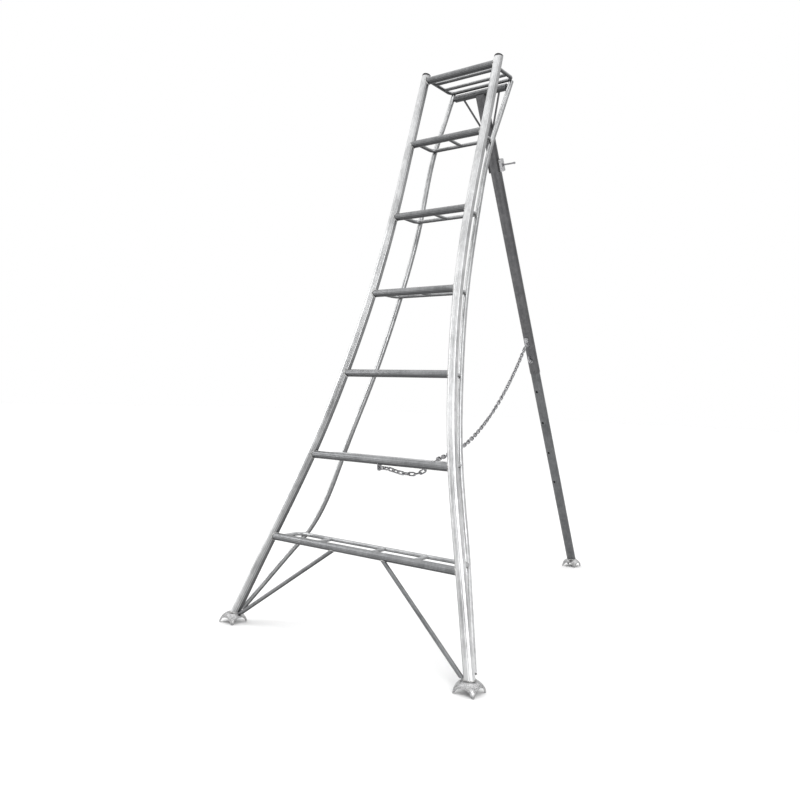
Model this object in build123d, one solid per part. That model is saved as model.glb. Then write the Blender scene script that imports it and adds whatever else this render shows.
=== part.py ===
from build123d import *
from math import cos, radians, sin, sqrt, tan
import os

os.makedirs("parts", exist_ok=True)

# Orchard tripod ladder, in millimetres. The climbing side faces -Y, the rear leg stands at +Y and
# Z = 0 is the ground under the claws. X = 0 is the middle plane.

# Front frame
LEAN_DEG = 16.3
FEET_APART = 1809.0
FOOT_HALF_WIDTH = 499.0
FOOT_TOP = 34.0
STILE_TOP = 2116.0
STILE_R = 17.0
STILE_WALL = 2.0
STILE_Y_AT_GROUND = -FEET_APART / 2 - 4.0
TREAD_LEVELS = (313.0, 613.0, 913.0, 1213.0, 1513.0, 1813.0)
STILE_HALF_WIDTHS = (403.0, 306.0, 236.0, 190.0, 169.0, 166.0)
STILE_END_HALF_WIDTH = 164.0
STILE_FOOT_HALF_WIDTH = 495.0

# Treads: a front tube and a bent loop behind it
RUNG_R = 13.5
RUNG_WALL = 2.0
LOOP_R = 7.0
LOOP_WALL = 1.6
LOOP_DEPTH = 107.0
LOOP_BEND = 25.0
LOOP_INSET = 32.0
TIE_R = 6.0
TIE_X = ((-208.0, 34.0, 208.0), (0.0,), (0.0,), (0.0,), (0.0,), (0.0,))

# Rear rails behind the treads
RAIL_R = 9.5
RAIL_WALL = 1.8
RAIL_INSETS = (52.0, 49.0, 44.0, 42.0, 40.0, 36.0)
RAIL_WELD_BITE = 1.0
RAIL_FOOT_Z = 42.0
RAIL_FOOT_INSET = 1.0
RAIL_FOOT_DEPTH = 26.6

# Platform and hinge
PLATFORM_Z = 2088.0
PLATFORM_LOOP_HALF = 144.0
PLATFORM_REAR = 768.0 - 908.5
SLAT_Y = (655.0 - 908.5, 720.0 - 908.5)
SLAT_R = 6.6
RAIL_TOP_HALF = 133.0
RAIL_TOP_Z = 2082.0
RAIL_TOP_BACK = 6.0
HINGE_Z = 2062.0
HINGE_BAR_R = 8.5
SLEEVE_R = 13.5
SLEEVE_HALF = 118.0
RUNNING_GAP = 0.06

# Foot braces under the bottom tread
FOOT_BRACE_R = 7.0
FOOT_BRACE_TOP_X = 102.0
FOOT_BRACE_FOOT_X = 478.0
FOOT_BRACE_FOOT_Z = 27.0

# Feet: dished square plates standing on four claws
FOOT_SQUARE = 70.0
FOOT_DISC_R = 25.0
FOOT_RIM_R = 50.0
FOOT_PLATE = 4.5

# Rear leg, measured down the leg from the hinge
LEG_LEAN_DEG = 27.22
OUTER_R = 23.0
OUTER_WALL = 1.7
OUTER_TOP = 4.0
OUTER_END = 1231.0
INNER_R = 21.0
INNER_WALL = 2.0
INNER_TOP = 800.0
INNER_BOTTOM = 2310.0
PIN_AT = 1160.0
HOLE_PITCH = 162.0
HOLES_ABOVE = 2
HOLES_BELOW = 4
PIN_R = 5.0
CLEARANCE = 0.3
HEAD_BRACE_R = 4.0
HEAD_BRACE_X = 86.0
HEAD_BRACE_AT = 195.0

# Collar, bracket and pull pin on the leg
COLLAR_AT = 290.0
COLLAR_LENGTH = 47.0
COLLAR_R = 29.5
COLLAR_JAW = 13.0
BRACKET_OUT = 38.0
BRACKET_HALF = 12.0
BRACKET_LENGTH = 50.0
BRACKET_PLATE = 3.0
BRACKET_HOLE_R = 2.2
PULL_PIN_R = 3.5
PULL_PIN_TIP = 21.6
PULL_PIN_END = 90.0
PULL_PIN_FLANGE_R = 6.0
PULL_PIN_FLANGE = 2.5
PULL_PIN_KNOB_R = 4.5
PULL_PIN_KNOB = 7.0

# Chain, its anchor on the leg and its lug under the second tread
ANCHOR_AT = 1085.0
ANCHOR_EYE_REACH = 43.0
ANCHOR_PLATE = 4.0
CHAIN_R = 7.0
CHAIN_SAG = 86.0
CHAIN_RUNS = 8
CHAIN_END_GAP = 1.0
CHAIN_CROSSING_X = 199.0
LUG_X = 10.0
LUG_DROP = 24.0
LUG_PLATE = 4.0

LEAN = tan(radians(LEAN_DEG))
HINGE_Y = PLATFORM_REAR
LEG = Plane(
    origin=(0, HINGE_Y, HINGE_Z),
    x_dir=(1, 0, 0),
    z_dir=(0, sin(radians(LEG_LEAN_DEG)), -cos(radians(LEG_LEAN_DEG))),
)


def stile_y(z):
    """Where the leaning plane of the stiles is at height z."""
    return STILE_Y_AT_GROUND + z * LEAN


def turned(shape, x=0.0, y=0.0, z=0.0):
    """A Z cylinder laid along X with its middle at a point."""
    return Pos(x, y, z) * Rot(0, 90, 0) * shape


def sweep_round(path, radius):
    """A solid round bar along a path."""
    return sweep(Plane(origin=path @ 0, z_dir=path % 0) * Circle(radius), path=path)


def rod_between(start, end, radius):
    """A straight round bar from one point to another."""
    return sweep_round(Line(start, end), radius)


def rail_depth(inset):
    """How far behind the stile plane a rail lies so that it bears on the bend of a tread loop."""
    reach = LOOP_BEND + LOOP_R + RAIL_R - RAIL_WELD_BITE
    along = max(0.0, LOOP_BEND - (inset - LOOP_INSET))
    return LOOP_DEPTH - LOOP_BEND + sqrt(reach**2 - along**2) / cos(radians(LEAN_DEG))


def stile_path(side):
    """The centreline of a stile, flaring outwards towards its foot."""
    points = [(side * STILE_FOOT_HALF_WIDTH, stile_y(FOOT_TOP), FOOT_TOP)]
    for z, half in zip(TREAD_LEVELS, STILE_HALF_WIDTHS):
        points.append((side * half, stile_y(z), z))
    points.append((side * STILE_END_HALF_WIDTH, stile_y(STILE_TOP), STILE_TOP))
    return Spline(*points)


def above(z):
    """Everything above height z."""
    return Pos(0, 0, z) * Box(3000, 5000, 5000, align=(Align.CENTER, Align.CENTER, Align.MIN))


def stile_solid(side, radius):
    """A round solid along a stile, cut level at its foot."""
    path = stile_path(side)
    start = path @ 0
    stub = rod_between(start - (path % 0) * (2 * STILE_R), start, radius)
    return (sweep_round(path, radius) + stub) & above(FOOT_TOP)


def rail_path(side):
    """The centreline of a rear rail, from beside the foot to the platform's rear corner."""
    foot_half = STILE_FOOT_HALF_WIDTH - 0.34 * (RAIL_FOOT_Z - FOOT_TOP) - RAIL_FOOT_INSET
    low = Vector(side * foot_half, stile_y(RAIL_FOOT_Z) + RAIL_FOOT_DEPTH, RAIL_FOOT_Z)
    points = []
    for z, half, inset in zip(TREAD_LEVELS, STILE_HALF_WIDTHS, RAIL_INSETS):
        points.append(Vector(side * (half - inset), stile_y(z) + rail_depth(inset), z))
    top = Vector(side * RAIL_TOP_HALF, PLATFORM_REAR + RAIL_TOP_BACK, RAIL_TOP_Z)
    first, last = points[0], points[-1]
    points = [low + (first - low) * part for part in (0, 0.4, 0.8)] + points
    points += [last + (top - last) * part for part in (0.35, 0.7, 1)]
    return Spline(*points)


def ring(outer, inner, start, end):
    """A tube along Z between two heights."""
    length = end - start
    low = (Align.CENTER, Align.CENTER, Align.MIN)
    tube = Cylinder(outer, length, align=low) - Cylinder(inner, length, align=low)
    return Pos(0, 0, start) * tube


def bar_along_x(radius, half, y, z):
    """A solid round bar along X, centred on X = 0."""
    return turned(Cylinder(radius, 2 * half), 0, y, z)


def loop_path(half, front, rear, z):
    """The centreline of a flat U that opens towards the climber."""
    points = ((half, front, z), (half, rear, z), (-half, rear, z), (-half, front, z))
    return FilletPolyline(*points, radius=LOOP_BEND)


def foot(x, y):
    """A dished square plate on four claws, standing on the ground at x, y."""
    outer = Line((0, FOOT_TOP), (FOOT_DISC_R, FOOT_TOP))
    outer += ThreePointArc((FOOT_DISC_R, FOOT_TOP), (41.5, 20.5), (FOOT_RIM_R, 0))
    rim = FOOT_RIM_R - FOOT_PLATE
    under = FOOT_TOP - FOOT_PLATE
    inner = Line((FOOT_RIM_R, 0), (rim, 0))
    inner += ThreePointArc((rim, 0), (37.5, 17.5), (FOOT_DISC_R - 1.5, under))
    inner += Line((FOOT_DISC_R - 1.5, under), (0, under))
    inner += Line((0, under), (0, FOOT_TOP))
    dish = revolve(Plane.XZ * make_face(outer + inner), Axis.Z)
    square = Box(FOOT_SQUARE, FOOT_SQUARE, 3 * FOOT_TOP)
    return Pos(x, y, 0) * (dish & square)


def leg_side_hole(radius, at):
    """A cutter through the leg on its +X side."""
    return turned(Cylinder(radius, BRACKET_OUT), BRACKET_OUT / 2 + 6, 0, at)


def leg_cross_hole(radius, at):
    """A cutter through the leg from front to back."""
    return Pos(0, 0, at) * Rot(90, 0, 0) * Cylinder(radius, 4 * OUTER_R)


def leg_outer_tube():
    tube = ring(OUTER_R, OUTER_R - OUTER_WALL, OUTER_TOP, OUTER_END)
    tube -= bar_along_x(SLEEVE_R, SLEEVE_HALF, 0, 0)
    tube -= leg_cross_hole(PIN_R + CLEARANCE, PIN_AT)
    tube -= leg_side_hole(PULL_PIN_R + CLEARANCE, COLLAR_AT)
    return LEG * tube


def leg_inner_tube():
    tube = ring(INNER_R, INNER_R - INNER_WALL, INNER_TOP, INNER_BOTTOM)
    for step in range(-HOLES_ABOVE, HOLES_BELOW + 1):
        tube -= leg_cross_hole(PIN_R + CLEARANCE, PIN_AT + step * HOLE_PITCH)
    return (LEG * tube) & above(FOOT_TOP)


def hinge_sleeve():
    sleeve = Cylinder(SLEEVE_R, 2 * SLEEVE_HALF)
    sleeve -= Cylinder(HINGE_BAR_R + RUNNING_GAP, 2 * SLEEVE_HALF)
    return LEG * turned(sleeve)


def head_brace(side):
    """A thin bar from the end of the hinge sleeve down to the leg."""
    brace = rod_between((side * HEAD_BRACE_X, 0, 0), (0, 0, HEAD_BRACE_AT), HEAD_BRACE_R)
    brace -= bar_along_x(SLEEVE_R, SLEEVE_HALF, 0, 0)
    brace -= Cylinder(OUTER_R, 3 * HEAD_BRACE_AT)
    return LEG * brace


def leg_collar():
    """A clip around the back and the sides of the leg, open at the front."""
    half = COLLAR_LENGTH / 2
    collar = ring(COLLAR_R, OUTER_R, COLLAR_AT - half, COLLAR_AT + half)
    mouth = Box(4 * COLLAR_R, 2 * COLLAR_R, 2 * COLLAR_LENGTH)
    collar -= Pos(0, COLLAR_JAW + COLLAR_R, COLLAR_AT) * mouth
    collar -= leg_side_hole(PULL_PIN_R + CLEARANCE, COLLAR_AT)
    return LEG * collar


def pull_pin_bracket():
    """A channel on the +X side of the collar that guides the pull pin."""
    block = Pos(BRACKET_OUT / 2, 0, COLLAR_AT)
    block *= Box(BRACKET_OUT, 2 * BRACKET_HALF, BRACKET_LENGTH)
    hollow = Pos(BRACKET_OUT / 2 - BRACKET_PLATE, 0, COLLAR_AT)
    hollow *= Box(BRACKET_OUT, 2 * (BRACKET_HALF - BRACKET_PLATE), 2 * BRACKET_LENGTH)
    bracket = block - hollow - Pos(0, 0, COLLAR_AT) * Cylinder(COLLAR_R, 2 * BRACKET_LENGTH)
    bracket -= leg_side_hole(PULL_PIN_R + CLEARANCE, COLLAR_AT)
    eye = Pos(BRACKET_OUT - 6, BRACKET_HALF, COLLAR_AT - 15) * Rot(90, 0, 0)
    bracket -= eye * Cylinder(BRACKET_HOLE_R, 2 * BRACKET_PLATE)
    return LEG * bracket


def pull_pin():
    rod = Cylinder(PULL_PIN_R, PULL_PIN_END - PULL_PIN_TIP)
    pin = turned(rod, (PULL_PIN_END + PULL_PIN_TIP) / 2, 0, COLLAR_AT)
    flange_x = BRACKET_OUT + CLEARANCE + PULL_PIN_FLANGE / 2
    pin += turned(Cylinder(PULL_PIN_FLANGE_R, PULL_PIN_FLANGE), flange_x, 0, COLLAR_AT)
    knob = fillet(Cylinder(PULL_PIN_KNOB_R, PULL_PIN_KNOB).edges(), 1.2)
    pin += turned(knob, PULL_PIN_END, 0, COLLAR_AT)
    return LEG * pin


def chain_anchor():
    """A strap on the front of the leg with an eye that holds the chain's last link."""
    strap = Pos(0, OUTER_R, ANCHOR_AT - 14) * Box(18, 6, 40)
    strap = fillet(strap.edges().filter_by(Axis.Y), 4)
    forward = (Align.CENTER, Align.MIN, Align.CENTER)
    eye = Box(ANCHOR_PLATE, ANCHOR_EYE_REACH - OUTER_R, 22, align=forward)
    eye = Pos(0, OUTER_R, ANCHOR_AT) * eye
    eye = fillet(eye.edges().filter_by(Axis.X).sort_by(Axis.Y)[-2:], 9)
    anchor = strap + eye - Pos(0, 0, ANCHOR_AT) * Cylinder(OUTER_R, 200)
    anchor -= turned(Cylinder(4.5, 20), 0, ANCHOR_EYE_REACH - 10, ANCHOR_AT)
    anchor -= Pos(0, OUTER_R, ANCHOR_AT - 24) * Rot(90, 0, 0) * Cylinder(3.2, 20)
    return LEG * anchor


def chain_anchor_bolt():
    """The bolt through the strap, with a domed head in front."""
    shank = Pos(0, OUTER_R + 1.5, ANCHOR_AT - 24) * Rot(90, 0, 0) * Cylinder(3.2, 3.0)
    head = Cylinder(6.5, 4.5)
    head = fillet(head.edges().sort_by(Axis.Z)[-1], 3)
    return LEG * (shank + Pos(0, OUTER_R + 5.25, ANCHOR_AT - 24) * Rot(-90, 0, 0) * head)


def lock_pin():
    """A headed pin through both tubes of the leg."""
    reach = OUTER_R + 4.0
    rod = Pos(0, 0.5, PIN_AT) * Rot(90, 0, 0) * Cylinder(PIN_R, 2 * reach + 1)
    head = Pos(0, reach + 1.0 + 1.5, PIN_AT) * Rot(90, 0, 0) * Cylinder(7.0, 3.0)
    return LEG * (rod + head)


def lock_pin_handle():
    """The wire hook on the head of the lock pin, shaped like a J."""
    y = OUTER_R + 8.0 + 1.5
    points = ((0, y, PIN_AT - 24), (0, y, PIN_AT + 9), (13, y, PIN_AT + 9), (13, y, PIN_AT - 2))
    return LEG * sweep_round(FilletPolyline(*points, radius=6), 1.5)


def chain_route():
    """The chain hangs from the leg to the second tread, drops through it and runs back to its lug."""
    start = LEG.from_local_coords(Vector(0, ANCHOR_EYE_REACH + CHAIN_END_GAP, ANCHOR_AT))
    rung_y = stile_y(TREAD_LEVELS[1])
    rung_z = TREAD_LEVELS[1]
    over = Vector(CHAIN_CROSSING_X, rung_y + LOOP_DEPTH + 6, rung_z + LOOP_R + CHAIN_R + 3)
    points = []
    for step in range(CHAIN_RUNS):
        t = step / CHAIN_RUNS
        points.append(start + (over - start) * t - Vector(0, 0, 4 * CHAIN_SAG * t * (1 - t)))
    points.append(Vector(CHAIN_CROSSING_X + 2, rung_y + 56, rung_z + 14))
    points.append(Vector(160, rung_y + 33, rung_z - 35))
    points.append(Vector(104, rung_y + 8, rung_z - 37))
    points.append(Vector(50, rung_y, rung_z - LUG_DROP))
    points.append(Vector(LUG_X + LUG_PLATE / 2, rung_y, rung_z - LUG_DROP))
    return points


def chain():
    points = chain_route()
    radii = []
    for before, here, after in zip(points, points[1:], points[2:]):
        turn = radians((here - before).get_angle(after - here))
        shorter = min((here - before).length, (after - here).length)
        radii.append(0.45 * shorter / tan(turn / 2))
    print("chain bend radii", [round(r) for r in radii])
    path = FilletPolyline(*points, radius=radii)
    print("chain length", round(path.length))
    return sweep_round(path, CHAIN_R)


def chain_lug():
    """A plate with a hole under the middle of the second tread."""
    y = stile_y(TREAD_LEVELS[1])
    z = TREAD_LEVELS[1]
    hanging = (Align.CENTER, Align.CENTER, Align.MAX)
    plate = Pos(LUG_X, y, z) * Box(LUG_PLATE, 20, LUG_DROP + 10, align=hanging)
    plate = fillet(plate.edges().filter_by(Axis.X).sort_by(Axis.Z)[:2], 8)
    plate -= bar_along_x(RUNG_R, 200, y, z)
    return plate - turned(Cylinder(4.5, 20), LUG_X, y, z - LUG_DROP)


def foot_brace(side, rung_outer, stile_outer):
    z = TREAD_LEVELS[0]
    start = (side * FOOT_BRACE_TOP_X, stile_y(z - 6), z - 6)
    end = (side * FOOT_BRACE_FOOT_X, stile_y(FOOT_BRACE_FOOT_Z), FOOT_BRACE_FOOT_Z)
    brace = rod_between(start, end, FOOT_BRACE_R)
    brace -= rod_between(start, end, FOOT_BRACE_R - LOOP_WALL)
    return (brace - rung_outer - stile_outer) & above(FOOT_TOP)


def tie(x, front, rear, z, cutters):
    """A short bar between the front tube of a tread and its loop."""
    bar = rod_between((x, front, z), (x, rear, z), TIE_R)
    for cutter in cutters:
        bar -= cutter
    return bar


def save(shape, name):
    solids = shape.solids()
    body = solids[0] if len(solids) == 1 else Compound(children=list(solids))
    print(name, len(solids), round(shape.volume))
    export_step(body, f"parts/{name}.step")


SIDES = (("right", 1), ("left", -1))
stile_outer = {side: stile_solid(side, STILE_R) for _, side in SIDES}
rail_outer = {side: sweep_round(rail_path(side), RAIL_R) for _, side in SIDES}

platform_rail_cut = sweep_round(
    loop_path(PLATFORM_LOOP_HALF, stile_y(PLATFORM_Z), PLATFORM_REAR, PLATFORM_Z), LOOP_R
)

for name, side in SIDES:
    bore = stile_solid(side, STILE_R - STILE_WALL)
    save(stile_outer[side] - bore, f"stile_{name}")
    rail = rail_outer[side] - sweep_round(rail_path(side), RAIL_R - RAIL_WALL)
    save(rail - stile_outer[side] - platform_rail_cut, f"rear_rail_{name}")

for number, (z, half, ties) in enumerate(zip(TREAD_LEVELS, STILE_HALF_WIDTHS, TIE_X), 1):
    y = stile_y(z)
    rung_outer = bar_along_x(RUNG_R, half, y, z)
    rung = rung_outer - bar_along_x(RUNG_R - RUNG_WALL, half, y, z)
    path = loop_path(half - LOOP_INSET, y, y + LOOP_DEPTH, z)
    loop_outer = sweep_round(path, LOOP_R)
    loop = loop_outer - sweep_round(path, LOOP_R - LOOP_WALL) - rung_outer
    for _, side in SIDES:
        rung -= stile_outer[side]
        loop -= rail_outer[side]
    save(rung, f"rung_{number}")
    save(loop, f"tread_loop_{number}")
    bars = [tie(x, y, y + LOOP_DEPTH, z, (rung_outer, loop_outer)) for x in ties]
    save(Compound(children=bars) if len(bars) > 1 else bars[0], f"tread_ties_{number}")
    if number == 1:
        for name, side in SIDES:
            save(foot_brace(side, rung_outer, stile_outer[side]), f"foot_brace_{name}")

y = stile_y(PLATFORM_Z)
front_outer = bar_along_x(RUNG_R, STILE_END_HALF_WIDTH, y, PLATFORM_Z)
front_bar = front_outer - bar_along_x(RUNG_R - RUNG_WALL, STILE_END_HALF_WIDTH, y, PLATFORM_Z)
path = loop_path(PLATFORM_LOOP_HALF, y, PLATFORM_REAR, PLATFORM_Z)
loop = platform_rail_cut - sweep_round(path, LOOP_R - LOOP_WALL) - front_outer
hinge_bar = bar_along_x(HINGE_BAR_R, RAIL_TOP_HALF, HINGE_Y, HINGE_Z)
for _, side in SIDES:
    front_bar -= stile_outer[side]
    loop -= stile_outer[side]
    hinge_bar -= rail_outer[side]
save(front_bar, "platform_front_bar")
save(loop, "platform_loop")
save(hinge_bar, "hinge_bar")
for number, slat_y in enumerate(SLAT_Y, 1):
    slat = bar_along_x(SLAT_R, PLATFORM_LOOP_HALF, slat_y, PLATFORM_Z)
    slat -= bar_along_x(SLAT_R - LOOP_WALL, PLATFORM_LOOP_HALF, slat_y, PLATFORM_Z)
    save(slat - platform_rail_cut, f"platform_slat_{number}")

save(foot(FOOT_HALF_WIDTH, -FEET_APART / 2), "foot_right")
save(foot(-FOOT_HALF_WIDTH, -FEET_APART / 2), "foot_left")
save(foot(0, FEET_APART / 2), "foot_rear")
save(chain_lug(), "chain_lug")
save(chain(), "chain")
save(hinge_sleeve(), "hinge_sleeve")
save(leg_outer_tube(), "leg_outer_tube")
save(head_brace(1), "head_brace_right")
save(head_brace(-1), "head_brace_left")
save(leg_collar(), "leg_collar")
save(pull_pin_bracket(), "pull_pin_bracket")
save(pull_pin(), "pull_pin")
save(chain_anchor(), "chain_anchor")
save(chain_anchor_bolt(), "chain_anchor_bolt")
save(lock_pin(), "lock_pin")
save(lock_pin_handle(), "lock_pin_handle")
save(leg_inner_tube(), "leg_inner_tube")
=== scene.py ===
import math

import bpy
import numpy as np
from mathutils import Matrix, Vector


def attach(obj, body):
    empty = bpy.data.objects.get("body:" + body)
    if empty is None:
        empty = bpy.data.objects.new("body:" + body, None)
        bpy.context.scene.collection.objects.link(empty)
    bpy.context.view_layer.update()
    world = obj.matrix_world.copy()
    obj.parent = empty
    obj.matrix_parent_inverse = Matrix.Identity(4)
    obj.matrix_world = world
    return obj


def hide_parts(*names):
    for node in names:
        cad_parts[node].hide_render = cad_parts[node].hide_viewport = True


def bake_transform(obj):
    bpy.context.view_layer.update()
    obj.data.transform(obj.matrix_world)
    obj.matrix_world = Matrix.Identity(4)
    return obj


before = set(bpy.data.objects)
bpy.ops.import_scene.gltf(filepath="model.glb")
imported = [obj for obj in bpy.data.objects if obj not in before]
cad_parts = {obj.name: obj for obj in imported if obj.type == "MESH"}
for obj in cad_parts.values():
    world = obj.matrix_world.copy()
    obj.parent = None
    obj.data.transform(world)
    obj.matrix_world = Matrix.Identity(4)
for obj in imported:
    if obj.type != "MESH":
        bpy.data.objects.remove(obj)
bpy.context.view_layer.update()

# The frame's driving sizes, in metres, as the CAD has them.
LEAN = math.tan(math.radians(16.3))
STILE_Y = -0.9085
LEVELS = (0.313, 0.613, 0.913, 1.213, 1.513, 1.813)
HALVES = (0.403, 0.306, 0.236, 0.190, 0.169, 0.166)
INSETS = (0.052, 0.049, 0.044, 0.042, 0.040, 0.036)
FOOT_TOP = 0.034
STILE_TOP = 2.116
STILE_FOOT_HALF = 0.495
STILE_TOP_HALF = 0.164
STILE_R = 0.017
RUNG_R = 0.0135
WALL = 0.002
BORE_DEPTH = 0.12
PLATFORM_Z = 2.088
PLATFORM_REAR = -0.1405
LOOP_R = 0.007
LOOP_DEPTH = 0.107
LOOP_INSET = 0.032
LOOP_BEND = 0.025
RAIL_REACH = 0.0405
BRACE_R = 0.007
BRACE_TOP_X = 0.094
BRACE_RUN = (0.350, -0.0760, -0.2605)
LEG_LEAN = math.radians(27.22)
LEG_LENGTH = 2.281
HINGE = Vector((0, PLATFORM_REAR, 2.062))
LEG_DOWN = Vector((0, math.sin(LEG_LEAN), -math.cos(LEG_LEAN)))
LEG_FRONT = Vector((0, -math.cos(LEG_LEAN), -math.sin(LEG_LEAN)))


def stile_y(z):
    return STILE_Y + z * LEAN


def leg_point(x, front, down):
    return HINGE + Vector((x, 0, 0)) + LEG_FRONT * front + LEG_DOWN * down


# ---------------------------------------------------------------- materials


class Graph:
    """A short way to build a node material."""

    def __init__(self, name):
        self.material = bpy.data.materials.new(name)
        self.material.use_nodes = True
        self.tree = self.material.node_tree
        self.shader = self.tree.nodes["Principled BSDF"]

    def node(self, kind, **settings):
        made = self.tree.nodes.new(kind)
        for key, value in settings.items():
            setattr(made, key, value)
        return made

    def link(self, a, b):
        self.tree.links.new(a, b)

    def put(self, socket, value):
        if hasattr(value, "is_linked"):
            self.link(value, socket)
        else:
            socket.default_value = value

    def math(self, operation, a, b=0.0, clamp=False):
        made = self.node("ShaderNodeMath", operation=operation, use_clamp=clamp)
        self.put(made.inputs[0], a)
        self.put(made.inputs[1], b)
        return made.outputs[0]

    def mix(self, factor, a, b):
        made = self.node("ShaderNodeMix", data_type="RGBA")
        self.put(made.inputs[0], factor)
        self.put(made.inputs[6], a)
        self.put(made.inputs[7], b)
        return made.outputs[2]

    def ramp(self, value, low, high, to_low=0.0, to_high=1.0):
        made = self.node("ShaderNodeMapRange", interpolation_type="SMOOTHSTEP")
        for socket, number in zip(made.inputs, (value, low, high, to_low, to_high)):
            self.put(socket, number)
        return made.outputs[0]

    def coords(self, turn=(0, 0, 0), scale=(1, 1, 1)):
        place = self.node("ShaderNodeTexCoord")
        mapping = self.node("ShaderNodeMapping")
        mapping.inputs["Rotation"].default_value = turn
        mapping.inputs["Scale"].default_value = scale
        self.link(place.outputs["Object"], mapping.inputs["Vector"])
        return mapping.outputs[0]

    def upright(self):
        """-1 on a face of the part that looks down, 1 on one that looks up."""
        place, split = self.node("ShaderNodeTexCoord"), self.node("ShaderNodeSeparateXYZ")
        self.link(place.outputs["Normal"], split.inputs[0])
        return split.outputs["Z"]

    def noise(self, vector, scale, detail=4.0, rough=0.55):
        made = self.node("ShaderNodeTexNoise")
        self.link(vector, made.inputs["Vector"])
        made.inputs["Scale"].default_value = scale
        made.inputs["Detail"].default_value = detail
        made.inputs["Roughness"].default_value = rough
        return made.outputs["Fac"]

    def bump(self, height, strength, distance, before=None):
        made = self.node("ShaderNodeBump")
        self.put(made.inputs["Height"], height)
        made.inputs["Strength"].default_value = strength
        made.inputs["Distance"].default_value = distance
        if before is not None:
            self.link(before, made.inputs["Normal"])
        return made.outputs[0]


SAWN = (0.05, 0.05, 0.052, 1)


def drawn_metal(name, light, dark, turn, rough=(0.28, 0.5), cut=None, underside_shade=None, span=(-0.42, 0.42)):
    """Drawn tube: fine lines along it, blotches of oxide, small rubbed marks and painted shade on its
    underside.
    """
    g = Graph(name)
    along = g.coords(turn=turn, scale=(1, 1, 0.012))
    plain = g.coords()
    streaks = g.noise(along, 900, 3.0, 0.6)
    broad = g.noise(along, 170, 3.0, 0.5)
    cloud = g.noise(plain, 7.0, 5.0, 0.6)
    blotch = g.noise(plain, 38.0, 5.0, 0.65)
    speck = g.noise(plain, 420.0, 2.0, 0.5)
    tone = g.math("ADD", g.math("MULTIPLY", cloud, 0.5), g.math("MULTIPLY", blotch, 0.35))
    tone = g.math("ADD", tone, g.math("MULTIPLY", broad, 0.25))
    tone = g.ramp(tone, 0.40, 0.70)
    colour = g.mix(tone, dark, light)
    rubbed = g.ramp(blotch, 0.60, 0.72)
    bright = tuple(min(1.0, 1.25 * c) for c in light[:3]) + (1,)
    colour = g.mix(g.math("MULTIPLY", rubbed, 0.35), colour, bright)
    # Painted shade: faces that look down are mixed towards the near-black underside colour.
    if underside_shade:
        colour = g.mix(g.ramp(g.upright(), *span), underside_shade, colour)
    if cut:
        split = g.node("ShaderNodeSeparateXYZ")
        g.link(plain, split.inputs[0])
        colour = g.mix(g.ramp(split.outputs["Z"], cut - 0.004, cut - 0.003), colour, SAWN)
    g.link(colour, g.shader.inputs["Base Color"])
    grain = g.math("ADD", g.math("MULTIPLY", cloud, 0.6), g.math("MULTIPLY", speck, 0.4))
    g.link(g.ramp(grain, 0.35, 0.65, *rough), g.shader.inputs["Roughness"])
    g.shader.inputs["Metallic"].default_value = 1.0
    normal = g.bump(streaks, 0.10, 0.0004)
    normal = g.bump(speck, 0.05, 0.0003, normal)
    g.link(normal, g.shader.inputs["Normal"])
    return g.material


def zinc(name, light, dark, rough=(0.25, 0.45), scale=1.0):
    """Zinc plate: faint cloudy grain with dull spots."""
    g = Graph(name)
    plain = g.coords()
    cells = g.node("ShaderNodeTexVoronoi")
    g.link(plain, cells.inputs["Vector"])
    cells.inputs["Scale"].default_value = 320.0 * scale
    cloud = g.noise(plain, 60.0 * scale, 5.0, 0.6)
    speck = g.noise(plain, 700.0 * scale, 2.0, 0.5)
    tone = g.math("ADD", g.math("MULTIPLY", cells.outputs["Distance"], 0.5), g.math("MULTIPLY", cloud, 0.7))
    tone = g.ramp(tone, 0.35, 0.8)
    g.link(g.mix(tone, dark, light), g.shader.inputs["Base Color"])
    g.link(g.ramp(cloud, 0.35, 0.65, *rough), g.shader.inputs["Roughness"])
    g.shader.inputs["Metallic"].default_value = 1.0
    g.link(g.bump(speck, 0.12, 0.0004), g.shader.inputs["Normal"])
    return g.material


def black_plastic(name):
    """Black moulding with a fine grain and some pale dust."""
    g = Graph(name)
    plain = g.coords()
    grain = g.noise(plain, 900.0, 3.0, 0.6)
    dust = g.ramp(g.noise(plain, 45.0, 5.0, 0.6), 0.5, 0.75)
    colour = g.mix(g.math("MULTIPLY", dust, 0.3), (0.012, 0.012, 0.013, 1), (0.09, 0.085, 0.08, 1))
    g.link(colour, g.shader.inputs["Base Color"])
    g.link(g.ramp(grain, 0.3, 0.7, 0.4, 0.6), g.shader.inputs["Roughness"])
    g.link(g.bump(grain, 0.2, 0.0003), g.shader.inputs["Normal"])
    return g.material


def weld_metal(name):
    """Weld bead: silvery ripples with a darker burnt edge."""
    g = Graph(name)
    plain = g.coords()
    ripple = g.noise(plain, 500.0, 3.0, 0.6)
    soot = g.ramp(g.noise(plain, 130.0, 4.0, 0.6), 0.42, 0.66)
    g.link(g.mix(soot, (0.62, 0.62, 0.61, 1), (0.16, 0.155, 0.15, 1)), g.shader.inputs["Base Color"])
    g.link(g.ramp(ripple, 0.3, 0.7, 0.28, 0.55), g.shader.inputs["Roughness"])
    g.shader.inputs["Metallic"].default_value = 1.0
    g.link(g.bump(ripple, 0.35, 0.0006), g.shader.inputs["Normal"])
    return g.material


# Colours are linear. The near-black underside colour is painted shade on the faces that look down, and each
# span says over which slopes it fades in.
LIGHT = (0.78, 0.785, 0.79, 1)
DULL = (0.54, 0.545, 0.55, 1)
PAINTED_UNDERSIDE_SHADE = (0.06, 0.061, 0.063, 1)
ROUND = (-0.78, 0.20)
UPRIGHT = (math.radians(16.3), 0, 0)
SIDEWAYS = (0, math.radians(90), 0)
ALONG_LEG = (-LEG_LEAN, 0, 0)


def bar_metal(name, light, dark, turn=SIDEWAYS):
    return drawn_metal(name, light, dark, turn, underside_shade=PAINTED_UNDERSIDE_SHADE, span=ROUND)


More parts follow.
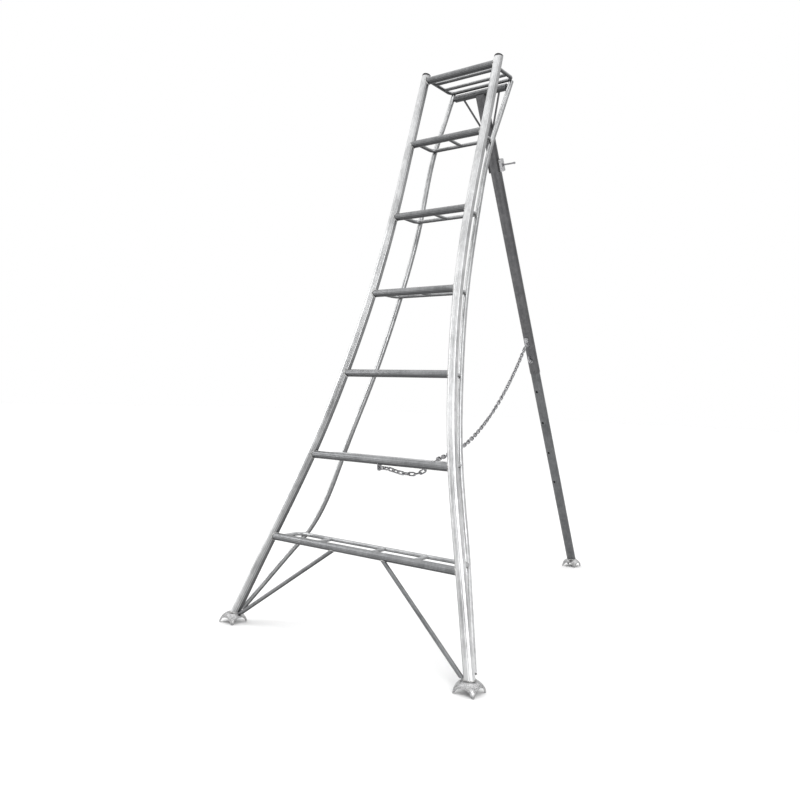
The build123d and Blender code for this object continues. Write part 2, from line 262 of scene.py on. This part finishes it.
mats = {
    "stile": drawn_metal("aluminium_stile", LIGHT, DULL, UPRIGHT, cut=STILE_TOP, underside_shade=PAINTED_UNDERSIDE_SHADE),
    # Painted shade: the rungs are the stiles' aluminium, darkened to stand in for their shade.
    "rung": bar_metal("aluminium_rung", (0.28, 0.284, 0.29, 1), (0.17, 0.173, 0.177, 1)),
    # Painted shade: the tread loops are the same aluminium, darkened to stand in for the shade between stile
    # and rail.
    "loop": bar_metal("aluminium_loop", (0.48, 0.485, 0.49, 1), (0.30, 0.304, 0.31, 1)),
    "rail": drawn_metal(
        "aluminium_rail", (0.70, 0.705, 0.71, 1), (0.47, 0.475, 0.48, 1), UPRIGHT, underside_shade=PAINTED_UNDERSIDE_SHADE
    ),
    # Painted shade: the rear leg's tubes are the same aluminium, darkened here to stand in for the shade
    # they sit in.
    "leg": drawn_metal(
        "aluminium_leg", (0.15, 0.15, 0.154, 1), (0.095, 0.095, 0.099, 1), ALONG_LEG, (0.38, 0.58)
    ),
    "leg_inner": drawn_metal(
        "aluminium_leg_inner", (0.165, 0.168, 0.172, 1), (0.10, 0.103, 0.107, 1), ALONG_LEG, (0.34, 0.52)
    ),
    # Painted shade: the hinge and foot braces are the same aluminium, darkened to stand in for their shade.
    "small": bar_metal("aluminium_small", (0.26, 0.264, 0.27, 1), (0.15, 0.153, 0.157, 1), (0, 0, 0)),
    "foot": zinc("zinc_foot", (0.50, 0.50, 0.50, 1), (0.20, 0.20, 0.205, 1), (0.24, 0.44)),
    "fitting": zinc("zinc_fitting", (0.50, 0.50, 0.51, 1), (0.26, 0.26, 0.27, 1)),
    "pin": zinc("zinc_pin", (0.34, 0.34, 0.35, 1), (0.16, 0.16, 0.17, 1)),
    "chain": zinc("zinc_chain", (0.42, 0.42, 0.43, 1), (0.07, 0.07, 0.075, 1), (0.14, 0.3), 2.0),
    "plastic": black_plastic("black_plastic"),
    "weld": weld_metal("weld_bead"),
}

# A node takes the material of the first prefix that its name starts with.
RULES = (
    ("stile_", "stile"), ("rear_rail_", "rail"), ("rung_", "rung"),
    ("platform_front", "rung"), ("platform_", "loop"), ("tread_loop_", "loop"), ("tread_ties_", "loop"),
    ("hinge_", "small"), ("foot_brace_", "small"), ("foot_", "foot"),
    ("head_brace_", "leg"), ("leg_collar", "plastic"), ("leg_outer", "leg"), ("leg_inner", "leg_inner"),
    ("pull_pin_bracket", "fitting"), ("pull_pin", "pin"), ("lock_pin", "fitting"),
    ("chain_lug", "pin"), ("chain_", "fitting"), ("chain", "chain"),
)
for node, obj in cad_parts.items():
    key = next(value for prefix, value in RULES if node.startswith(prefix))
    obj.data.materials.clear()
    obj.data.materials.append(mats[key])

# ---------------------------------------------------------------- mesh helpers


def add_mesh(name, points, faces, material, body, smooth=40):
    """A named mesh with one of the materials above, riding a body of the frame."""
    mesh = bpy.data.meshes.new(name)
    mesh.from_pydata([tuple(p) for p in points], [], faces)
    mesh.update()
    obj = bpy.data.objects.new(name, mesh)
    bpy.context.scene.collection.objects.link(obj)
    mesh.materials.append(mats[material])
    mesh.shade_smooth()
    mesh.set_sharp_from_angle(angle=math.radians(smooth))
    if body:
        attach(obj, body)
    return obj


def frames_along(line, closed=False):
    """A tangent and two cross directions at each point, without twist."""
    line = [Vector(p) for p in line]
    n = len(line)
    tangents = []
    for i in range(n):
        before = line[i - 1] if i or closed else line[0]
        after = line[(i + 1) % n] if i < n - 1 or closed else line[-1]
        tangents.append((after - before).normalized())
    side = tangents[0].cross(Vector((0.13, 0.21, 0.97))).normalized()
    out = []
    for t in tangents:
        side = (side - t * side.dot(t)).normalized()
        out.append((t, side, t.cross(side)))
    return out


def ring_faces(rings, count, offset=0, closed=False, flip=False):
    """Quads between neighbouring rings of count points each."""
    faces = []
    for i in range(rings if closed else rings - 1):
        j = (i + 1) % rings
        for k in range(count):
            m = (k + 1) % count
            here, there = offset + i * count, offset + j * count
            face = (here + k, here + m, there + m, there + k)
            faces.append(face[::-1] if flip else face)
    return faces


# ---------------------------------------------------------------- the chain


def fillet_line(points, step):
    """Straight runs joined by tangent arcs, as one list of close points."""
    points = [Vector(p) for p in points]
    out = [points[0]]
    for before, here, after in zip(points, points[1:], points[2:]):
        a, b = (before - here), (after - here)
        turn = math.pi - a.angle(b)
        cut = 0.45 * min(a.length, b.length)
        radius = cut / math.tan(turn / 2)
        p, q = here + a.normalized() * cut, here + b.normalized() * cut
        centre = here + (a.normalized() + b.normalized()).normalized() * math.hypot(cut, radius)
        out.append(p)
        u, v = (p - centre), (q - centre)
        pieces = max(2, math.ceil(turn * radius / step))
        for k in range(1, pieces):
            t = k / pieces
            s = math.sin(turn)
            out.append(centre + u * (math.sin((1 - t) * turn) / s) + v * (math.sin(t * turn) / s))
        out.append(q)
    out.append(points[-1])
    return out


def spaced(line, step):
    """The same line with points an even step apart, and its length."""
    line = np.array([list(p) for p in line])
    along = np.concatenate([[0], np.cumsum(np.linalg.norm(np.diff(line, axis=0), axis=1))])
    at = np.linspace(0, along[-1], int(round(along[-1] / step)) + 1)
    return [Vector([float(np.interp(a, along, line[:, k])) for k in range(3)]) for a in at], float(along[-1])


CHAIN_RUNS = 8
CHAIN_SAG = 0.086
LUG_X = 0.010
start = leg_point(0, 0.044, 1.085)
rung_y, rung_z = stile_y(LEVELS[1]), LEVELS[1]
over = Vector((0.199, rung_y + LOOP_DEPTH + 0.006, rung_z + LOOP_R + 0.010))
route = []
for step in range(CHAIN_RUNS):
    t = step / CHAIN_RUNS
    route.append(start + (over - start) * t - Vector((0, 0, 4 * CHAIN_SAG * t * (1 - t))))
route.append(Vector((0.201, rung_y + 0.056, rung_z + 0.014)))
route.append(Vector((0.160, rung_y + 0.033, rung_z - 0.035)))
route.append(Vector((0.104, rung_y + 0.008, rung_z - 0.037)))
route.append(Vector((0.050, rung_y, rung_z - 0.024)))
route.append(Vector((LUG_X + 0.002, rung_y, rung_z - 0.024)))
line, chain_length = spaced(fillet_line(route, 0.004), 0.002)

WIRE_R = 0.0026
PITCH = 0.0192
LINK_HALF_WIDTH = 0.0082 - WIRE_R
links = int(round(chain_length / PITCH))
pitch = chain_length / links
LINK_STEPS = 28
WIRE_SIDES = 8
LINK_TURN = math.radians(90)
FIRST_ROLL = math.radians(38)
ROLL_WANDER = 8


def link_loop(count, half_length, half_width):
    """The centreline of one link, a stadium in its own plane."""
    straight = half_length - half_width
    loop = []
    for k in range(count):
        a = 2 * math.pi * k / count
        x = half_width * math.cos(a) + math.copysign(straight, math.cos(a)) * min(1, abs(math.cos(a)) * 8)
        loop.append((x, half_width * math.sin(a)))
    return loop


outline = link_loop(LINK_STEPS, pitch / 2 + WIRE_R * 0.98, LINK_HALF_WIDTH)
wander = np.random.default_rng(4)
points, faces = [], []
frames = frames_along(line)
for n in range(links):
    at = (n + 0.5) * pitch
    i = min(len(line) - 1, int(round(at / chain_length * (len(line) - 1))))
    t, side, up = frames[i]
    roll = FIRST_ROLL + LINK_TURN * (n % 2) + math.radians(float(wander.normal(0, ROLL_WANDER)))
    roll += 0.25 * math.sin(n * 0.35)
    across = side * math.cos(roll) + up * math.sin(roll)
    normal = t.cross(across)
    ring = [line[i] + t * x + across * y for x, y in outline]
    offset = len(points)
    for k in range(LINK_STEPS):
        a, b = ring[k - 1], ring[(k + 1) % LINK_STEPS]
        tangent = (b - a).normalized()
        out = tangent.cross(normal).normalized()
        for s in range(WIRE_SIDES):
            angle = 2 * math.pi * s / WIRE_SIDES
            points.append(ring[k] + out * (WIRE_R * math.cos(angle)) + normal * (WIRE_R * math.sin(angle)))
    faces += ring_faces(LINK_STEPS, WIRE_SIDES, offset, closed=True)
chain = add_mesh("chain_links", points, faces, "chain", None, 60)
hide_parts("chain")
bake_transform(chain)

# ---------------------------------------------------------------- fluted tubes

SIDES = (("right", 1), ("left", -1))
FLUTES = 16
FLUTE_DEPTH = 0.0007


def fluted(radius, count=FLUTES, depth=FLUTE_DEPTH, steps=5):
    """A tube's outline with shallow grooves, as pairs of cross offsets."""
    out = []
    for k in range(count * steps):
        a = 2 * math.pi * k / (count * steps)
        r = radius - depth * (0.5 - 0.5 * math.cos(count * a)) ** 1.6
        out.append((r * math.cos(a), r * math.sin(a)))
    return out


def end_slope(p, h):
    """The slope at the first point of a parabola through the first three, with steps h between them."""
    share = h[0] / (h[0] + h[1])
    return (p[1] - p[0]) / h[0] * (1 + share) - (p[2] - p[1]) / h[1] * share


def cubic_line(points, samples):
    """A smooth curve through the points, with a parabola's directions at its ends."""
    p = np.array([list(v) for v in points], float)
    h = np.linalg.norm(np.diff(p, axis=0), axis=1)
    t = np.concatenate([[0], np.cumsum(h)])
    n = len(p)
    a = np.zeros((n, n))
    b = np.zeros((n, 3))
    a[0, 0] = a[-1, -1] = 1
    b[0], b[-1] = end_slope(p, h), -end_slope(p[::-1], h[::-1])
    for i in range(1, n - 1):
        a[i, i - 1], a[i, i], a[i, i + 1] = h[i], 2 * (h[i - 1] + h[i]), h[i - 1]
        b[i] = 3 * (h[i] * (p[i] - p[i - 1]) / h[i - 1] + h[i - 1] * (p[i + 1] - p[i]) / h[i])
    d = np.linalg.solve(a, b)
    out = []
    for s in np.linspace(0, t[-1], samples):
        i = min(n - 2, int(np.searchsorted(t, s, "right") - 1))
        u = (s - t[i]) / h[i]
        q = (1 + 2 * u) * (1 - u) ** 2 * p[i] + u * u * (3 - 2 * u) * p[i + 1]
        q = q + h[i] * (u * (1 - u) ** 2 * d[i] - u * u * (1 - u) * d[i + 1])
        out.append(Vector(q))
    return out


def stile_line(side, samples=90):
    points = [(side * STILE_FOOT_HALF, stile_y(FOOT_TOP), FOOT_TOP)]
    points += [(side * half, stile_y(z), z) for z, half in zip(LEVELS, HALVES)]
    points.append((side * STILE_TOP_HALF, stile_y(STILE_TOP), STILE_TOP))
    return cubic_line(points, samples)


stile_lines = {}
for name, side in SIDES:
    path = stile_line(side)
    stile_lines[name] = path
    shape = fluted(STILE_R)
    points = []
    for i, (p, (t, u, v)) in enumerate(zip(path, frames_along(path))):
        for x, y in shape:
            q = p + u * x + v * y
            if i == 0 or q.z < FOOT_TOP:
                q = q + t * ((FOOT_TOP - q.z) / t.z)
            points.append(q)
    count = len(shape)
    t, u, v = frames_along(path)[-1]
    for depth in (0.0, BORE_DEPTH):
        for x, y in shape:
            r = (STILE_R - WALL) / math.hypot(x, y)
            points.append(path[-1] - t * depth + u * (x * r) + v * (y * r))
    faces = ring_faces(len(path) + 2, count)
    obj = add_mesh(f"fluted_stile_{name}", points, faces, "stile", "front_frame")
    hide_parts(f"stile_{name}")


def tangent_at(path, z):
    """The direction of a stile at the height z."""
    i = min(range(1, len(path) - 1), key=lambda n: abs(path[n].z - z))
    return (path[i + 1] - path[i - 1]).normalized()


def coped_x(side, half, y, z, axis):
    """Where a line along X, y and z off the rung's axis, meets the stile."""
    along = y * axis.y + z * axis.z
    a = 1 - axis.x**2
    b = -2 * axis.x * along
    c = y * y + z * z - along**2 - (STILE_R - FLUTE_DEPTH) ** 2
    return side * half + (-b - side * math.sqrt(b * b - 4 * a * c)) / (2 * a)


def rung_tube(name, half, z, node):
    """A fluted tube between the stiles with its ends shaped to them."""
    outline = fluted(RUNG_R)
    y = stile_y(z)
    rings = []
    for radius in (None, RUNG_R - WALL):
        for side in (-1, 1) if radius is None else (1, -1):
            axis = tangent_at(stile_lines["right" if side > 0 else "left"], z)
            for dy, dz in outline:
                k = 1 if radius is None else radius / math.hypot(dy, dz)
                rings.append((coped_x(side, half, dy * k, dz * k, axis), y + dy * k, z + dz * k))
    faces = ring_faces(4, len(outline), closed=True, flip=True)
    obj = add_mesh(name, rings, faces, "rung", "front_frame")
    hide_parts(node)


for k, (z, half) in enumerate(zip(LEVELS, HALVES), 1):
    rung_tube(f"fluted_rung_{k}", half, z, f"rung_{k}")
rung_tube("fluted_front_bar", STILE_TOP_HALF, PLATFORM_Z, "platform_front_bar")

# ---------------------------------------------------------------- weld beads


def bead(points, faces, path, radius, seed, closed=True):
    """Adds a rippled bead that follows a closed line."""
    rng = np.random.default_rng(seed)
    count = 7
    offset = len(points)
    frames = frames_along(path, closed)
    for i, (p, (t, u, v)) in enumerate(zip(path, frames)):
        r = radius * (1 + 0.22 * math.sin(i * 2.1) + 0.12 * float(rng.normal()))
        for s in range(count):
            a = 2 * math.pi * s / count
            points.append(Vector(p) + u * (r * math.cos(a)) + v * (r * math.sin(a)))
    faces += ring_faces(len(path), count, offset, closed=closed)


def bar_on_tube(centre, axis, bar_dir, bar_r, tube_r, steps=40):
    """The line where a bar meets a round tube: centre is on the tube's axis."""
    axis, bar_dir = Vector(axis).normalized(), Vector(bar_dir).normalized()
    across = bar_dir - axis * bar_dir.dot(axis)
    sine = across.length
    side = axis.cross(bar_dir).normalized()
    other = bar_dir.cross(side).normalized()
    path = []
    for k in range(steps):
        a = 2 * math.pi * k / steps
        s = bar_r * math.sin(a)
        o = bar_r * math.cos(a)
        flat = max(0.0, tube_r**2 - s**2) ** 0.5
        out = across.normalized()
        reach = (flat - o * other.dot(out)) / sine
        path.append(Vector(centre) + side * s + other * o + bar_dir * reach)
    return path


def foot_ring(x, y, half_width, half_depth):
    """An oval just above a foot's flat top."""
    ring = []
    for k in range(40):
        a = 2 * math.pi * k / 40
        ring.append(Vector((x + half_width * math.cos(a), y + half_depth * math.sin(a), FOOT_TOP + 0.001)))
    return ring


def rail_ring(side, half, inset, z):
    """An oval where a tread loop's rear bend touches the rail."""
    bend = Vector((side * (half - LOOP_INSET - LOOP_BEND), stile_y(z) + LOOP_DEPTH - LOOP_BEND, z))
    sideways = LOOP_INSET + LOOP_BEND - inset
    back = math.sqrt(RAIL_REACH**2 - max(0.0, sideways) ** 2) / math.cos(math.atan(LEAN))
    out = Vector((side * sideways, back, 0)).normalized()
    touch = bend + out * (LOOP_BEND + LOOP_R)
    across = out.cross(Vector((0, 0, 1)))
    ring = []
    for k in range(20):
        a = 2 * math.pi * k / 20
        ring.append(touch + across * (0.0048 * math.cos(a)) + Vector((0, 0, 0.0055 * math.sin(a))))
    return ring


X_AXIS, Y_AXIS = (1, 0, 0), (0, 1, 0)
STILE_BEAD, LOOP_BEAD, RAIL_BEAD, FOOT_BEAD, BRACE_BEAD = 0.0019, 0.0013, 0.0021, 0.0022, 0.0012
welds = []
for z, half in zip(LEVELS + (PLATFORM_Z,), HALVES + (STILE_TOP_HALF,)):
    for name, side in SIDES:
        centre = Vector((side * half, stile_y(z), z))
        axis = tangent_at(stile_lines[name], z)
        welds.append((bar_on_tube(centre, axis, (-side, 0, 0), RUNG_R, STILE_R), STILE_BEAD))
        if z != PLATFORM_Z:
            loop_end = Vector((side * (half - LOOP_INSET), stile_y(z), z))
            welds.append((bar_on_tube(loop_end, X_AXIS, Y_AXIS, LOOP_R, RUNG_R, 24), LOOP_BEAD))
for z, half, inset in zip(LEVELS, HALVES, INSETS):
    for name, side in SIDES:
        welds.append((rail_ring(side, half, inset, z), RAIL_BEAD))
for name, side in SIDES:
    welds.append((foot_ring(side * STILE_FOOT_HALF, stile_y(FOOT_TOP), 0.0175, 0.0178), FOOT_BEAD))
    brace_top = Vector((side * BRACE_TOP_X, stile_y(LEVELS[0]), LEVELS[0]))
    down = Vector((side * BRACE_RUN[0], BRACE_RUN[1], BRACE_RUN[2]))
    welds.append((bar_on_tube(brace_top, X_AXIS, down, BRACE_R, RUNG_R, 24), BRACE_BEAD))
points, faces = [], []
for seed, (ring, radius) in enumerate(welds, 1):
    bead(points, faces, ring, radius, seed)
add_mesh("frame_welds", points, faces, "weld", "front_frame", 70)

points, faces = [], []
bead(points, faces, foot_ring(0, leg_point(0, 0, LEG_LENGTH).y, 0.0215, 0.0242), FOOT_BEAD, 99)
add_mesh("rear_foot_weld", points, faces, "weld", "leg_inner", 70)

# ---------------------------------------------------------------- stage, light and camera


def stage_mesh(name, points, faces, colour, rough):
    """A flat piece of the studio, which isn't part of the ladder."""
    mesh = bpy.data.meshes.new(name)
    mesh.from_pydata(points, [], faces)
    obj = bpy.data.objects.new(name, mesh)
    bpy.context.scene.collection.objects.link(obj)
    g = Graph(name)
    tint = g.noise(g.coords(), 3.0, 2.0, 0.5)
    g.link(g.mix(tint, colour, tuple(c * 0.985 for c in colour[:3]) + (1,)), g.shader.inputs["Base Color"])
    g.shader.inputs["Roughness"].default_value = rough
    mesh.materials.append(g.material)


FLOOR = 30.0
corners = [(-FLOOR, -FLOOR, 0), (FLOOR, -FLOOR, 0), (FLOOR, FLOOR, 0), (-FLOOR, FLOOR, 0)]
stage_mesh("floor", corners, [(0, 1, 2, 3)], (0.86, 0.86, 0.86, 1), 0.9)


def area_light(name, place, size, power):
    """A soft white panel turned to the middle of the ladder."""
    data = bpy.data.lights.new(name, "AREA")
    data.shape = "RECTANGLE"
    data.size, data.size_y = size
    data.energy = power
    obj = bpy.data.objects.new(name, data)
    obj.location = place
    obj.rotation_euler = (MIDDLE - Vector(place)).to_track_quat("-Z", "Y").to_euler()
    bpy.context.scene.collection.objects.link(obj)


MIDDLE = Vector((0, -0.2, 1.0))
area_light("key", (3.9, -3.6, 3.0), (1.6, 2.6), 90)
area_light("side", (-3.6, -3.0, 2.6), (1.4, 2.6), 50)

world = bpy.data.worlds.new("studio")
bpy.context.scene.world = world
world.use_nodes = True
nodes, links = world.node_tree.nodes, world.node_tree.links


def fade(direction, span, strength):
    """Light that grows smoothly towards one direction of the studio."""
    facing = nodes.new("ShaderNodeVectorMath")
    facing.operation = "DOT_PRODUCT"
    facing.inputs[1].default_value = direction
    links.new(place.outputs["Generated"], facing.inputs[0])
    ramp = nodes.new("ShaderNodeMapRange")
    ramp.interpolation_type = "SMOOTHSTEP"
    for socket, value in zip(ramp.inputs[1:5], span + strength):
        socket.default_value = value
    links.new(facing.outputs["Value"], ramp.inputs[0])
    return ramp.outputs[0]


BACKDROP, OVERHEAD = (-0.6, 0.8, 0.0), (0.0, 0.0, 1.0)
place = nodes.new("ShaderNodeTexCoord")
total = nodes.new("ShaderNodeMath")
links.new(fade(BACKDROP, (-0.8, 0.6), (0.38, 1.0)), total.inputs[0])
links.new(fade(OVERHEAD, (0.5, 0.85), (0.0, 0.95)), total.inputs[1])
links.new(total.outputs[0], nodes["Background"].inputs[1])
nodes["Background"].inputs[0].default_value = (1.0, 1.0, 1.0, 1)
bpy.context.scene.view_settings.view_transform = "Standard"

CAMERA_PLACE = (1.6137, -2.7762, 0.8295)
LENS = 34.44345
yaw, pitch, roll = math.radians(36.704), math.radians(-0.181), math.radians(1.995)
ahead = Vector((-math.sin(yaw) * math.cos(pitch), math.cos(yaw) * math.cos(pitch), math.sin(pitch)))
right = Vector((math.cos(yaw), math.sin(yaw), 0))
up = right.cross(ahead)
right, up = right * math.cos(roll) + up * math.sin(roll), up * math.cos(roll) - right * math.sin(roll)
data = bpy.data.cameras.new("camera")
data.sensor_width = 36.0
data.lens = LENS
data.clip_start, data.clip_end = 0.05, 100
camera = bpy.data.objects.new("camera", data)
rows = [(right[k], up[k], -ahead[k], CAMERA_PLACE[k]) for k in range(3)]
camera.matrix_world = Matrix(rows + [(0, 0, 0, 1)])
bpy.context.scene.collection.objects.link(camera)
bpy.context.scene.camera = camera
